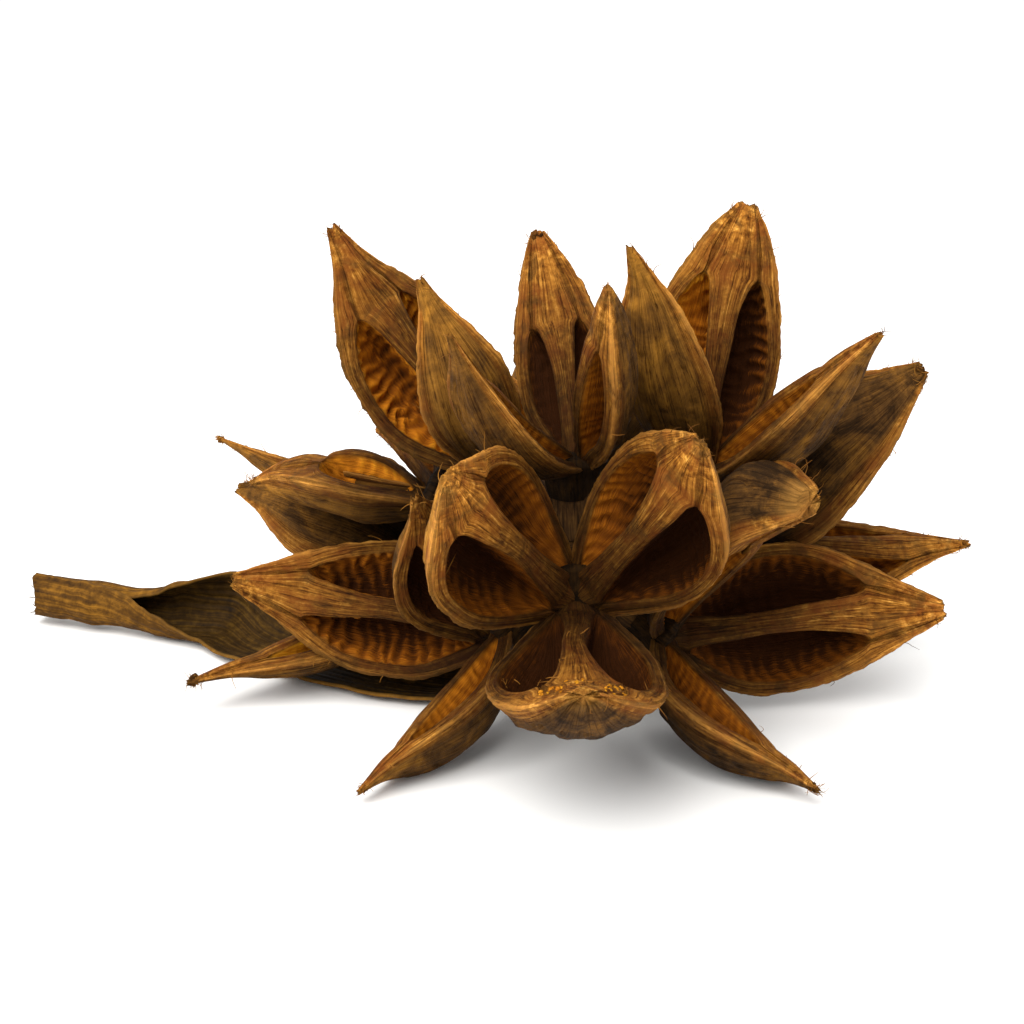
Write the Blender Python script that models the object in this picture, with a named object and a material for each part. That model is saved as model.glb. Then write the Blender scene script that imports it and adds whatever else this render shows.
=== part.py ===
"""Star pod: a dried head of woody seed capsules, each split open into a three-pointed star.

Everything is laid out in millimetres in the head's own frame: a to the right, b up the face and
c out of the face. place() then leans that frame back and stands it on the ground, in metres.
"""
import math

import bmesh
import bpy
import numpy as np
from mathutils import Matrix, Vector

# Where the head stands: its centre over the ground, and how far its face leans back
HEAD_CENTRE = np.array([34.0, 3.0, 52.0])
HEAD_TILT = math.radians(16.0)
MM = 0.001

# One valve, in millimetres: its usual size, and its girth from base to tip as a share
VALVE_LENGTH = 88.0
VALVE_GIRTH = 26.0
VALVE_DEPTH = 0.8
VALVE_BOW = 3.0
HALF_ANGLE = math.radians(60.0)
OUTLINE = ((0.0, 0.36), (0.12, 0.66), (0.27, 0.93), (0.42, 1.0), (0.58, 0.9), (0.72, 0.64),
           (0.86, 0.31), (1.0, 0.09))

# The valve's wall, the septum down its middle and the ribbed hollow on each side of that
WALL = 3.2
WALL_SHARE = 0.3
SEPTUM = 4.6
SEPTUM_SHARE = 0.36
WEB = 1.5
WEB_SHARE = 0.03
LOCULE_START = 0.07
LOCULE_END = 0.72
LOCULE_ROUNDING = 0.75
RIB_DEPTH = 0.9

# How finely a valve is built: across its back, across each hollow, and its rows from base to tip
ARC_STEPS = 5
POCKET_STEPS = 3
PLAIN_ROWS = (0.0, 0.07, 0.1, 0.16, 0.26, 0.38, 0.5, 0.61, 0.68, 0.72, 0.86, 1.0)
RIBBED_ROWS = (0.0, 0.07, 0.1, 0.15, 0.2, 0.25, 0.3, 0.35, 0.4, 0.45, 0.5, 0.55, 0.6, 0.65, 0.69,
               0.72, 0.86, 1.0)

# The cup under each star, as (height, radius), how far its top leans to the star's axis, and its branch
CUP_RINGS = ((-13.0, 8.0), (-6.0, 9.0), (0.0, 12.0), (4.0, 12.0), (8.0, 8.5), (10.0, 3.0))
CUP_LEAN = 0.3
CUP_SIDES = 12
SEAT_GAP = 0.3
BRANCH_ROOT_RADIUS = 6.5
BRANCH_ROOT_DEPTH = 10.0
BRANCH_SIDES = 10
BRANCH_RAKE = 0.62
BRANCH_LOWEST, BRANCH_HIGHEST = -46.0, 12.0

# The stem from the middle of the head to its cut end: centre and radius
STEM = (((0, 0, 20), 9), ((0, 0, 12), 16), ((0, 1, -2), 19.5), ((0, 1, -18), 19.5), ((0, 0, -34), 17),
        ((0, -6, -50), 14), ((0, -14, -66), 12.5), ((0, -22, -82), 12.5))
STEM_SIDES = 16

# The strap leaf, over the ground from the head's own foot: centre, width, and the degrees that it is
# curled through and turned over by
LEAF = (((-14, 14, 24), 18, 70, 10), ((-32, 17, 12), 28, 70, 10), ((-62, 24, 4), 33, 70, 12),
        ((-92, 44, 4), 34, 80, 24), ((-112, 62, 5), 38, 100, 40), ((-128, 71, 7), 42, 150, 62),
        ((-144, 78, 9), 44, 230, 82), ((-164, 85, 10), 44, 300, 92), ((-184, 93, 10), 43, 318, 96),
        ((-202, 101, 10), 42, 318, 100))
LEAF_THICKNESS = 1.2
LEAF_ACROSS = 11
LEAF_ROLL_RADIUS = 7.5

# The block that trims what would sink into the ground
GROUND_SIZE = 800.0
GROUND_DEPTH = 60.0

MATERIALS = {
    "husk": ((0.30, 0.17, 0.06), 0.75),
    "stem": ((0.20, 0.12, 0.06), 0.85),
    "leaf": ((0.17, 0.14, 0.05), 0.8),
}


def valve(bearing, lift, length=VALVE_LENGTH, girth=VALVE_GIRTH, facing=None, bow=VALVE_BOW, hook=0.0,
          sway=0.0, depth=VALVE_DEPTH, ribbed=False):
    """One valve: where it points, and where its open face looks if not to its capsule's axis."""
    return dict(bearing=bearing, lift=lift, length=length, girth=girth, facing=facing, bow=bow, hook=hook,
                sway=sway, depth=depth, ribbed=ribbed)


# Each capsule: where its three valves meet, then the valves
CAPSULES = {
    "capsule_front": ((-2, -10, 40), (
        valve(135, 54, girth=30, ribbed=True), valve(54, 51, girth=28, ribbed=True),
        valve(-92, 73, girth=28, ribbed=True))),
    "capsule_top_left": ((-28, 33, 2), (
        valve(125, 8, 92, facing=(34, 72), ribbed=True), valve(111, 28, 68, 18, hook=-3),
        valve(88, -58, 68, 20))),
    "capsule_top": ((-2, 35, 20), (
        valve(99, -27, 86, 18), valve(82, 52, 78, 18, facing=(190, -2), bow=-3, depth=0.7),
        valve(138, 51, 80, 20, facing=(45, -5), depth=0.75))),
    "capsule_top_right": ((39, 31, -2), (
        valve(80, 0, 88, 26, ribbed=True), valve(108, 33, 86, 20, facing=(-30, -55), bow=-6, depth=0.75),
        valve(39, 39, 84, 24, facing=(125, 42), depth=0.9))),
    "capsule_right": ((57, 9, -39), (
        valve(41, 24, 85, 29, facing=(-50, -62), bow=2, sway=-9, depth=0.65),
        valve(-2, -9, 81, 20, facing=(100, 50)), valve(-10, -62, 76, 23))),
    "capsule_low_right": ((30, -23, 6), (
        valve(6, -5, 90, 29, ribbed=True), valve(45, 43, 78, 28),
        valve(-42, 45, 82, 26, facing=(77, 24), hook=5, depth=0.73))),
    "capsule_low_left": ((-28, -21, 3), (
        valve(170, -7, 88, 26, ribbed=True), valve(118, 41, 64, 23, facing=(150, -76)),
        valve(-139, 43, 83, 22, facing=(103, 24), bow=3.4, hook=8))),
    "capsule_left": ((-49, 24, -13), (
        valve(176, -16, 63, 26, facing=(85, 20), bow=-10), valve(166, -31, 91, 11, facing=(-100, 40)),
        valve(135, -60, 60, 17))),
    "capsule_far_left": ((-49, -2, -58), (
        valve(159, -9, 76, 29, facing=(248, -60)), valve(-158, 29, 100, 20, facing=(80, 35), hook=4),
        valve(165, -64, 72, 21))),
    "capsule_back": ((5, 28, -50), (
        valve(58, -29, 66, 19), valve(85, -73, 66, 19), valve(112, -29, 66, 19))),
}


def clear_scene():
    for thing in list(bpy.data.objects):
        bpy.data.objects.remove(thing)


def unit(v):
    return v / np.linalg.norm(v)


def direction(bearing, lift):
    """A unit vector in the head's frame."""
    b, e = math.radians(bearing), math.radians(lift)
    return np.array([math.cos(b) * math.cos(e), math.sin(b) * math.cos(e), math.sin(e)])


def head_axes():
    """The head's a, b and c axes as the columns of a matrix."""
    s, c = math.sin(HEAD_TILT), math.cos(HEAD_TILT)
    return np.array([[1, 0, 0], [0, s, -c], [0, c, s]])


def place(points):
    """Head frame in millimetres to the world in metres."""
    return (np.asarray(points, float) @ head_axes().T + HEAD_CENTRE) * MM


def smooth_line(line, t):
    """The height at t of a smooth curve through the points of a line."""
    x, y = np.array(line, float).T
    slope = np.gradient(y, x)
    i = min(max(int(np.searchsorted(x, t, side="right")) - 1, 0), len(x) - 2)
    h = x[i + 1] - x[i]
    u = (t - x[i]) / h
    return ((2 * u**3 - 3 * u**2 + 1) * y[i] + (u**3 - 2 * u**2 + u) * h * slope[i]
            + (3 * u**2 - 2 * u**3) * y[i + 1] + (u**3 - u**2) * h * slope[i + 1])


def pocket_line(r, edge, flank, inside, rib):
    """The hollow beside the septum, from the septum's edge round to the rim, in a valve's section."""
    thick = min(WALL, WALL_SHARE * r)
    web = WEB + WEB_SHARE * r
    apex = np.array([edge, 0.2 * edge])
    rim = flank * (r - thick)
    middle = (apex + rim) / 2
    open_share = max(inside**0.5, 0.1) if inside > 0 else 0.5
    half = (rim - apex) / 2 * open_share
    floor = np.array([web, math.sqrt(max((r - thick) ** 2 - web**2, 0.01))])
    corner = middle + (floor - middle) * min(1.0, 1.25 * inside**0.6) - unit(floor - middle) * rib
    start = 2 * middle - corner
    turns = np.linspace(0, math.pi / 2, POCKET_STEPS + 1)
    to_septum = np.outer(np.clip(np.cos(turns), 0, 1) ** LOCULE_ROUNDING, middle - half - start)
    to_rim = np.outer(np.sin(turns) ** LOCULE_ROUNDING, middle + half - start)
    return start + to_septum + to_rim


def valve_section(t, girth, rib):
    """The closed outline across a valve at share t: round back, two rims, two pockets and the septum."""
    r = girth * smooth_line(OUTLINE, t)
    u = (2 * t - LOCULE_START - LOCULE_END) / (LOCULE_END - LOCULE_START)
    inside = max(0.0, 1 - u * u)
    flank = np.array([math.sin(HALF_ANGLE), math.cos(HALF_ANGLE)])
    edge = min(SEPTUM, SEPTUM_SHARE * r + 0.4)
    pocket = pocket_line(r, edge, flank, inside, rib if inside > 0.2 else 0.0)
    arc = [(r * math.sin(a), r * math.cos(a)) for a in np.linspace(HALF_ANGLE, -HALF_ANGLE, ARC_STEPS + 1)]
    ridge = [(-edge, 0.1 * edge), (edge, 0.1 * edge)]
    return np.concatenate([arc, (pocket * (-1, 1))[::-1], ridge, pocket])


def valve_axes(one, axis):
    """Along the valve, out through its back, and across it."""
    along = direction(one["bearing"], one["lift"])
    look = direction(*one["facing"]) if one["facing"] else axis
    out = unit(along * np.dot(look, along) - look)
    return along, out, np.cross(along, out)


def valve_rings(one, base, axis):
    """The valve's sections from base to tip; every second one stands in as a rib where it is ribbed."""
    along, out, across = valve_axes(one, axis)
    rows = RIBBED_ROWS if one["ribbed"] else PLAIN_ROWS
    rings = []
    for k, t in enumerate(rows):
        on_rib = one["ribbed"] and k % 2 == 1 and 3 <= k <= len(rows) - 4
        loop = valve_section(t, one["girth"], RIB_DEPTH if on_rib else 0.0)
        y = loop[:, 1] * one["depth"] + one["bow"] * 4 * t * (1 - t) + one["hook"] * t**3
        x = loop[:, 0] + one["sway"] * t * t
        rings.append(base + np.outer(x, across) + np.outer(y, out) + along * one["length"] * t)
    return np.array(rings)


def round_rings(stations, sides):
    """Rings round a bent line of (centre, radius, direction)."""
    turns = np.linspace(0, 2 * math.pi, sides, endpoint=False)
    rings = []
    for centre, radius, way in stations:
        side = unit(np.cross(way, (0.31, 0.95, 0.05)))
        other = np.cross(way, side)
        rings.append(centre + radius * (np.outer(np.cos(turns), side) + np.outer(np.sin(turns), other)))
    return np.array(rings)


def lofted(name, rings):
    """A closed body through rings of points in the head's frame, its ends closed to a middle point."""
    count, around = rings.shape[:2]
    points = np.concatenate([rings.reshape(-1, 3), [rings[0].mean(0), rings[-1].mean(0)]])
    faces = []
    for j in range(around):
        k = (j + 1) % around
        faces.append((count * around, k, j))
        faces.append((count * around + 1, (count - 1) * around + j, (count - 1) * around + k))
        for i in range(count - 1):
            a, b = i * around, (i + 1) * around
            faces.append((a + j, a + k, b + k, b + j))
    mesh = bpy.data.meshes.new(name)
    mesh.from_pydata([tuple(p) for p in place(points)], [], faces)
    turn_outwards(mesh)
    body = bpy.data.objects.new(name, mesh)
    BODIES.objects.link(body)
    return body


def turn_outwards(mesh):
    """Turns the mesh inside out where its volume is negative."""
    shape = bmesh.new()
    shape.from_mesh(mesh)
    if shape.calc_volume(signed=True) < 0:
        mesh.flip_normals()
    shape.free()


def boolean(body, operation, other=None, group=None):
    """Applies one Boolean to the body and removes what it used."""
    change = body.modifiers.new(operation.lower(), "BOOLEAN")
    change.operation = operation
    change.solver = "EXACT"
    if group:
        change.operand_type = "COLLECTION"
        change.collection = group
    else:
        change.object = other
    bpy.context.view_layer.update()
    shaped = bpy.data.meshes.new_from_object(body.evaluated_get(bpy.context.evaluated_depsgraph_get()))
    body.modifiers.clear()
    body.data = shaped
    for used in ([other] if other else list(group.objects)):
        bpy.data.objects.remove(used)


def fused(name, bodies):
    """Joins the bodies in one by a single union."""
    group = bpy.data.collections.new(name + "_pieces")
    bpy.context.scene.collection.children.link(group)
    first, rest = bodies[0], bodies[1:]
    for body in rest:
        BODIES.objects.unlink(body)
        group.objects.link(body)
    boolean(first, "UNION", group=group)
    bpy.data.collections.remove(group)
    first.name = name
    return first


def branch_line(base):
    """The foot on the stem's middle line of the branch to a capsule, and its unit direction."""
    foot = np.array([0.0, 0.0, min(BRANCH_HIGHEST, max(BRANCH_LOWEST, base[2] * BRANCH_RAKE))])
    return foot, unit(base - foot)


def capsule(name, base, valves):
    """Three valves and the cup that they grow from."""
    base = np.array(base, float)
    axis = unit(sum(direction(v["bearing"], v["lift"]) for v in valves))
    _, way = branch_line(base)
    stations = []
    for height, radius in CUP_RINGS:
        lean = way if height <= 0 else unit(way + axis * CUP_LEAN)
        stations.append((base + lean * height, radius, lean))
    bodies = [lofted(name, round_rings(stations, CUP_SIDES))]
    bodies += [lofted(f"{name}_valve", valve_rings(v, base, axis)) for v in valves]
    return fused(name, bodies)


def branch(start, end):
    """A tapered branch between two points of the head's frame."""
    start, end = Vector(place(start)), Vector(place(end))
    turn = (end - start).to_track_quat("Z", "Y").to_matrix().to_4x4()
    shape = bmesh.new()
    bmesh.ops.create_cone(shape, cap_ends=True, segments=BRANCH_SIDES, radius1=BRANCH_ROOT_RADIUS * MM,
                          radius2=CUP_RINGS[0][1] * MM, depth=(end - start).length,
                          matrix=Matrix.Translation((start + end) / 2) @ turn)
    mesh = bpy.data.meshes.new("branch")
    shape.to_mesh(mesh)
    shape.free()
    body = bpy.data.objects.new("branch", mesh)
    BODIES.objects.link(body)
    return body


def stem():
    """The woody core with its cut end, and a branch to just under each cup."""
    centres = [np.array(c, float) for c, _ in STEM]
    stations = []
    for k, (centre, (_, radius)) in enumerate(zip(centres, STEM)):
        way = unit(centres[min(k + 1, len(STEM) - 1)] - centres[max(k - 1, 0)])
        stations.append((centre, radius, way))
    bodies = [lofted("stem", round_rings(stations, STEM_SIDES))]
    for base, _ in CAPSULES.values():
        foot, way = branch_line(base)
        bodies.append(branch(foot + way * BRANCH_ROOT_DEPTH, base + way * (CUP_RINGS[0][0] - SEAT_GAP)))
    return fused("stem", bodies)


def leaf():
    """A strap of even thickness that lies on the ground, cupped at its root and rolled at its end."""
    centres = [np.array(c, float) for c, *_ in LEAF]
    rings = []
    for k, (_, width, curl, turn) in enumerate(LEAF):
        way = unit(centres[min(k + 1, len(LEAF) - 1)] - centres[max(k - 1, 0)])
        side = unit(np.cross(way, (0, 0, 1)))
        up = np.cross(side, way)
        lean, half = math.radians(turn), math.radians(curl) / 2
        opening = up * math.cos(lean) - side * math.sin(lean)
        across = side * math.cos(lean) + up * math.sin(lean)
        radius = width / (2 * half)
        middle = centres[k]
        if half < math.pi / 2:
            middle = middle + opening * (radius - LEAF_ROLL_RADIUS)
        loop = []
        for r, order in ((radius, 1), (radius - LEAF_THICKNESS, -1)):
            for a in np.linspace(-half, half, LEAF_ACROSS)[::order]:
                loop.append(middle + across * r * math.sin(a) - opening * r * math.cos(a))
        loop = np.array(loop)
        loop[:, 2] += max(0.0, -loop[:, 2].min())
        rings.append(loop)
    return lofted("leaf", (np.array(rings) - (0, 0, HEAD_CENTRE[2])) @ head_axes())


def trim_to_ground(body):
    """Cuts off what would sink into the ground, which leaves a small flat to rest on."""
    if min(v.co.z for v in body.data.vertices) >= 0:
        return
    bpy.ops.mesh.primitive_cube_add(size=1, location=(0, 0, -GROUND_DEPTH * MM / 2))
    ground = bpy.context.active_object
    ground.scale = (GROUND_SIZE * MM, GROUND_SIZE * MM, GROUND_DEPTH * MM)
    ground.hide_render = True
    ground.display_type = "WIRE"
    for home in list(ground.users_collection):
        home.objects.unlink(ground)
    CUTTERS.objects.link(ground)
    boolean(body, "DIFFERENCE", other=ground)


def paint(body, kind):
    """Gives the body a material of its own."""
    color, roughness = MATERIALS[kind]
    skin = bpy.data.materials.new(f"{body.name}_{kind}")
    skin.use_nodes = True
    shader = skin.node_tree.nodes["Principled BSDF"]
    shader.inputs["Base Color"].default_value = (*color, 1.0)
    shader.inputs["Roughness"].default_value = roughness
    body.data.materials.clear()
    body.data.materials.append(skin)


clear_scene()
BODIES = bpy.data.collections.new("star_pod")
CUTTERS = bpy.data.collections.new("cutters")
bpy.context.scene.collection.children.link(BODIES)
bpy.context.scene.collection.children.link(CUTTERS)

for capsule_name, (capsule_base, capsule_valves) in CAPSULES.items():
    star = capsule(capsule_name, capsule_base, capsule_valves)
    trim_to_ground(star)
    paint(star, "husk")
trunk = stem()
trim_to_ground(trunk)
paint(trunk, "stem")
paint(leaf(), "leaf")
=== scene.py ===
"""Star pod, dressed: fibrous valves with ribbed hollows, bark, a dried strap leaf, floor, light and camera.

Shapes are laid out in millimetres in the head's own frame: a to the right, b up the face and c out of
the face. place() leans that frame back and stands it on the ground, in metres, as the solids stand.
"""

import math

import bpy
import numpy as np
from mathutils import Matrix, Vector


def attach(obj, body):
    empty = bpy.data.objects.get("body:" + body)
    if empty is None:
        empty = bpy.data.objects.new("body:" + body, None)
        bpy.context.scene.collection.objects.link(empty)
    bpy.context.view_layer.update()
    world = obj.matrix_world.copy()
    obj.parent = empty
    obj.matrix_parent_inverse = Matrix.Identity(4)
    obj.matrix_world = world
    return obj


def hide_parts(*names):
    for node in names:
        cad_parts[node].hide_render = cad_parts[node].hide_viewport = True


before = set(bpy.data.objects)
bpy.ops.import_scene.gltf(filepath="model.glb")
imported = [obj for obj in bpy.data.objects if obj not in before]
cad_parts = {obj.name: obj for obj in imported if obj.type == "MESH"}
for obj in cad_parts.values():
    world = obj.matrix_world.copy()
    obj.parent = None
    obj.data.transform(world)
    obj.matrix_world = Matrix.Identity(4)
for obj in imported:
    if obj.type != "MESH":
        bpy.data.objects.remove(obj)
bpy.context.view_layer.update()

# Where the head stands, as in the solids
HEAD_CENTRE = np.array([34.0, 3.0, 52.0])
HEAD_TILT = math.radians(16.0)
MM = 0.001

# One valve: its usual size, and its girth from base to tip as a share
VALVE_LENGTH = 88.0
VALVE_GIRTH = 26.0
VALVE_DEPTH = 0.8
VALVE_BOW = 3.0
HALF_ANGLE = math.radians(60.0)
OUTLINE = ((0.0, 0.36), (0.12, 0.66), (0.27, 0.93), (0.42, 1.0), (0.58, 0.9), (0.72, 0.64),
           (0.86, 0.31), (1.0, 0.09))
BLUNT_OUTLINE = OUTLINE[:4] + ((0.58, 0.97), (0.72, 0.87), (0.86, 0.68), (0.95, 0.42), (1.0, 0.22))
WIDEST = 0.42
WANDER_RATE = 2.2
WANDER = 1.6
WANDER_START = (0.05, 0.4)

# The valve's wall, the septum down its middle and the ribbed hollow on each side of that
WALL = 4.6
WALL_SHARE = 0.34
BACK_WALL = 3.0
SEPTUM_BASE = 3.2
SEPTUM_TIP = 5.2
SEPTUM_CHANGE = (0.2, 0.7)
SEPTUM_SHARE = 0.34
SEPTUM_LEAST = 0.4
SEPTUM_CROWN = 0.45
LIP_DEPTH = 0.2
WEB = 1.5
WEB_SHARE = 0.03
WEB_MOST = 0.8
WEB_FLARE = 4
WALL_FLARE = 3
LOCULE_START = 0.06
LOCULE_END = 0.73
LOCULE_WIDTH_POWER = 0.36
LOCULE_DEPTH_POWER = 0.6
LOCULE_DEPTH_GAIN = 1.3
CREASE_LEAST = 0.1
CREASE_PAST_TIP = (0.02, 0.14)
CREASE_PAST_BASE = (0.0, 0.05)
CREASE_GAIN = 0.4
TINY = 0.01

# How finely a valve is drawn: its rows, and the columns round it by zone
ROWS = 118
BACK = 34
RIM = 7
WEB_STEPS = 9
WALL_STEPS = 13
RIDGE = 7
WEB_HOLLOW = 0.35
EDGE_WIDTH = 1.6
MARGIN = 4.2
MARGIN_WIDTH = 0.9

# The relief on a valve: the length and width of one hill of each kind, and its height on back and face
LUMP_SIZE = (30, 17)
LUMP_HEIGHTS = (0.9, 0.35)
FOLD_SIZE = (42, 5.2)
FOLD_HEIGHTS = (0.85, 0.2)
FOLD_CREST = 0.5
FOLD_SHARPNESS = 1.6
PLEAT_SIZE = (24, 2.0)
PLEAT_HEIGHT = 0.28
FOLDS_FADE = (0.72, 0.96)
FOLDS_FADE_SHARE = 0.75
STRAND_SIZE = (14, 0.95)
STRAND_HEIGHT = 0.26
CRACK_SIZE = (46, 7.5)
CRACK_WIDTH = 0.03
CRACK_DEPTH = 0.9
NICK_SIZE = (3.2, 40)
NICK_HEIGHT = 0.35
BURR_SIZE = (1.1, 1.0)
BURR_HEIGHT = 0.12
EDGE_SWELL = 0.3
MARGIN_GROOVE = 0.7
HOLLOW_DEPTHS = (0.3, 2.2)
SLENDER_GIRTHS = (0.02, 0.6)
TEAR_SPACING = 3.0
TEAR_LENGTH = 1.4
TEAR_START = 0.93
TORN_START = 0.95
TORN_SHARE = 0.5
SUNK_SHARE = 0.75

# The ribs across a hollow
RIB_SPACING = 4.4
RIB_HEIGHT = 1.4
RIB_SLANT = 0.22
RIB_SHARPNESS = 1.3
RIB_FOOT = 0.4
RIB_SWAY_SIZE = (8, 6)
RIB_SWAY = 0.45
RIB_PATCH_SIZE = (7, 5)
RIB_EVEN = 0.8
RIB_PATCHY = 0.7
PIT_SIZE = (2, 2.6)
PIT_HEIGHT = 0.35

# Loose fibres, lumps and litter: each pair is the least and the most
FRAY_COUNT = 10
FRAY_LENGTH = (2.0, 7.0)
FRAY_RADIUS = (0.08, 0.2)
FRAY_LIFT = (0.05, 0.5)
FRAY_FORWARD = (0.5, 1.1)
FRAY_SCATTER = 0.3
FRAY_BEND = 0.35
TUFT_PLACE = (0.96, 0.995)
FRAY_SPREAD = 0.6
LITTER_COUNT = 30
LITTER_PLACE = (0.3, 0.9)
LITTER_LENGTH = (1.5, 4.0)
LITTER_RADIUS = (0.12, 0.25)
LITTER_RISE = 0.4
CRUMB_PLACE = (0.8, 0.94)
CRUMB_SIZE = (0.3, 0.9)
# How much painted light a crumb in a hollow gets, at random
CRUMB_PAINTED_LIGHT = (0.3, 1.1)
STRAY_LENGTH = 17.0
STRAY_RADIUS = 0.28
STRAY_BEND = 0.02
STRAY_FROM = 0.55
STRAY_TO = 0.42
STRAY_COLUMN = 6
FIBRE_BEND = 0.22
FIBRE_STEPS = 6
FIBRE_SIDES = 5
FIBRE_TAPER = 0.35
FIBRE_CURL = 0.8
LUMP_ROWS = 7
LUMP_SIDES = 10
LUMP_END = 0.95
LUMP_STRETCH = 1.3
LUMP_ROUGHNESS = (0.72, 0.5)
LUMP_HILLS = (1.6, 1.3)
LUMP_GRAIN = 4
KNOB_LUMPS = 3
KNOB_REACH = 0.55
KNOB_SPREAD = (0.2, 1.0)
KNOB_SCATTER = 0.6
KNOB_SHARE = (0.3, 0.55)
KNOB_PALE = (0.1, 0.6)
THREAD_COUNT = 5
THREAD_FORWARD = 0.4
THREAD_SCATTER = 0.7
THREAD_SHARE = (0.7, 1.5)
THREAD_RADIUS = (0.1, 0.2)
THREAD_BEND = 0.5

# The cup under each star and the branch that carries it
CUP_RINGS = ((-13.0, 8.6), (-6.0, 9.4), (-2.0, 11.5), (0.0, 10.5), (0.8, 8.0), (1.2, 3.0))
CUP_LEAN = 0.3
CUP_LEAN_START = (0, 2)
CUP_ROWS = 26
CUP_SIDES = 48
CUP_RELIEF = 0.8
CUP_TONE = 0.35
BRANCH_ROOT_RADIUS = 8.6
BRANCH_OVERLAP = 2.0
BRANCH_INSET = 0.4
BRANCH_ROOT_DEPTH = 10.0
BRANCH_RAKE = 0.62
BRANCH_LOWEST = -46.0
BRANCH_HIGHEST = 12.0
BRANCH_ROWS = 30
BRANCH_SIDES = 44
BRANCH_RELIEF = 0.7
BRANCH_TONE = 0.4

# The stem from the middle of the head to its cut end: centre and radius
STEM = (((0, 0, 22), 9), ((0, 0, 13), 19), ((0, 1, -2), 23), ((0, 1, -18), 22), ((0, 0, -34), 17.5),
        ((0, -6, -50), 14), ((0, -14, -66), 12.5), ((0, -22, -82), 12.5))
STEM_ROWS = 90
STEM_SIDES = 96
STEM_RELIEF = 1.0
STEM_TONE = 0.35

# The grooves along a bark surface and the knots across it
GROOVE_WIDTH = 2.4
GROOVE_LENGTH = 40
GROOVE_HEIGHT = 0.6
KNOT_SIZE = 9
KNOT_WIDTH = 12
KNOT_HEIGHT = 0.8

# The strap leaf, over the ground from the head's own foot: centre, width, and the degrees that it is
# curled through and turned over by
LEAF = (((-14, 14, 24), 18, 70, 10), ((-32, 17, 12), 28, 70, 10), ((-62, 24, 4), 33, 70, 12),
        ((-92, 44, 4), 34, 64, 9), ((-112, 61, 3), 37, 78, 14), ((-128, 71, 6), 43, 158, 43),
        ((-144, 78, 9), 46, 275, 54), ((-162, 85, 10), 51, 370, 44), ((-180, 92, 10), 52, 390, 36),
        ((-198, 99, 10), 52, 395, 30))
LEAF_THICKNESS = 1.1
LEAF_ROLL_RADIUS = 7.5
LEAF_ROLL_START = 0.95
LEAF_OVERLAP = 1.4
LEAF_OVERLAP_CURL = (250, 370)
LEAF_ROWS = 190
LEAF_COLUMNS = np.linspace(-1, 1, 64)
LEAF_LOOP = np.concatenate([LEAF_COLUMNS, LEAF_COLUMNS[::-1]])
LEAF_CLEARANCE = 0.2
LEAF_CUT = 2.4
LEAF_CUT_START = 0.93
LEAF_RAGS = 7
LEAF_RAG_LENGTH = 1.6
LEAF_SWELL_LENGTH = 17
LEAF_SWELLS_ACROSS = 0.4
LEAF_SWELL = 0.7
LEAF_RIPPLE_LENGTH = 5
LEAF_RIPPLE = 0.25
LEAF_EDGE_LENGTH = 4
LEAF_EDGE_WAVE = 0.02
LEAF_EDGE_WIDTH = 0.03
LEAF_FIBRES = 14
LEAF_FIBRE_LENGTH = (2, 6)
LEAF_FIBRE_RADIUS = (0.1, 0.25)
LEAF_FIBRE_WAY = (-1.0, 0.1, 0.0)
VEIN_SPACING = 3.1
VEIN_HEIGHT = 0.22
VEINLET_SIZE = (30, 1.3)
VEINLET_HEIGHT = 0.2
LEAF_GRAIN_WIDTH = 20

# Random hills: how a finer layer follows from the one before, the seeds, and what scrambles a lattice
LAYER_SCALE = 2.07
LAYER_SHIFT = (5.3, 1.7)
LAYER_WEIGHT = 0.55
LAYER_SEEDS = 31
HILL_GAIN = 1.4
CUP_SEED = 900
STEM_SEED = 41
BRANCH_SEED = 60
LEAF_SEED = 77
SCRAMBLE_I = 374761393
SCRAMBLE_J = 668265263
SCRAMBLE_SEED = 974711
SCRAMBLE = 1274126177
WORD = 0xFFFFFFFF
HALF_WORD = 0xFFFF
ASIDE = (0.31, 0.95, 0.05)

# Noises that follow the grain: how often each changes in a millimetre along it and across it, how far it
# jumps from piece to piece, then its detail, roughness and warp
HUSK_STREAKS = ((0.032, 1.3, 3.1), 8.0, 0.66, 0.1)
HUSK_THREADS = ((0.09, 3.0, 3.1), 5.0, 0.65, 0.1)
HUSK_VEINS = ((0.020, 0.40, 7.7), 4.0, 0.6, 0.1)
BARK_GROOVES = ((0.06, 0.8, 2.3), 6.0, 0.62, 0.6)
BARK_SPOTS = ((0.2, 0.3, 4.1), 4.0, 0.6, 0.0)
LEAF_VEINS = ((0.02, 1.1, 1.3), 5.0, 0.6, 0.2)
LEAF_BLOTCHES = ((0.05, 0.12, 2.7), 4.0, 0.6, 0.6)

# Noises in the head's frame: how often each changes in a millimetre along a, b and c, then the same
HUSK_BLOTCHES = ((0.075, 0.075, 0.075), 6.0, 0.64, 0.8)
HUSK_STAINS = ((0.11, 0.12, 0.10), 6.0, 0.66, 0.6)
HUSK_COARSE = ((0.34, 0.34, 0.34), 7.0, 0.68, 0.3)
LEAF_MOTTLE = ((0.3, 0.3, 0.3), 7.0, 0.68, 0.3)

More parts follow.
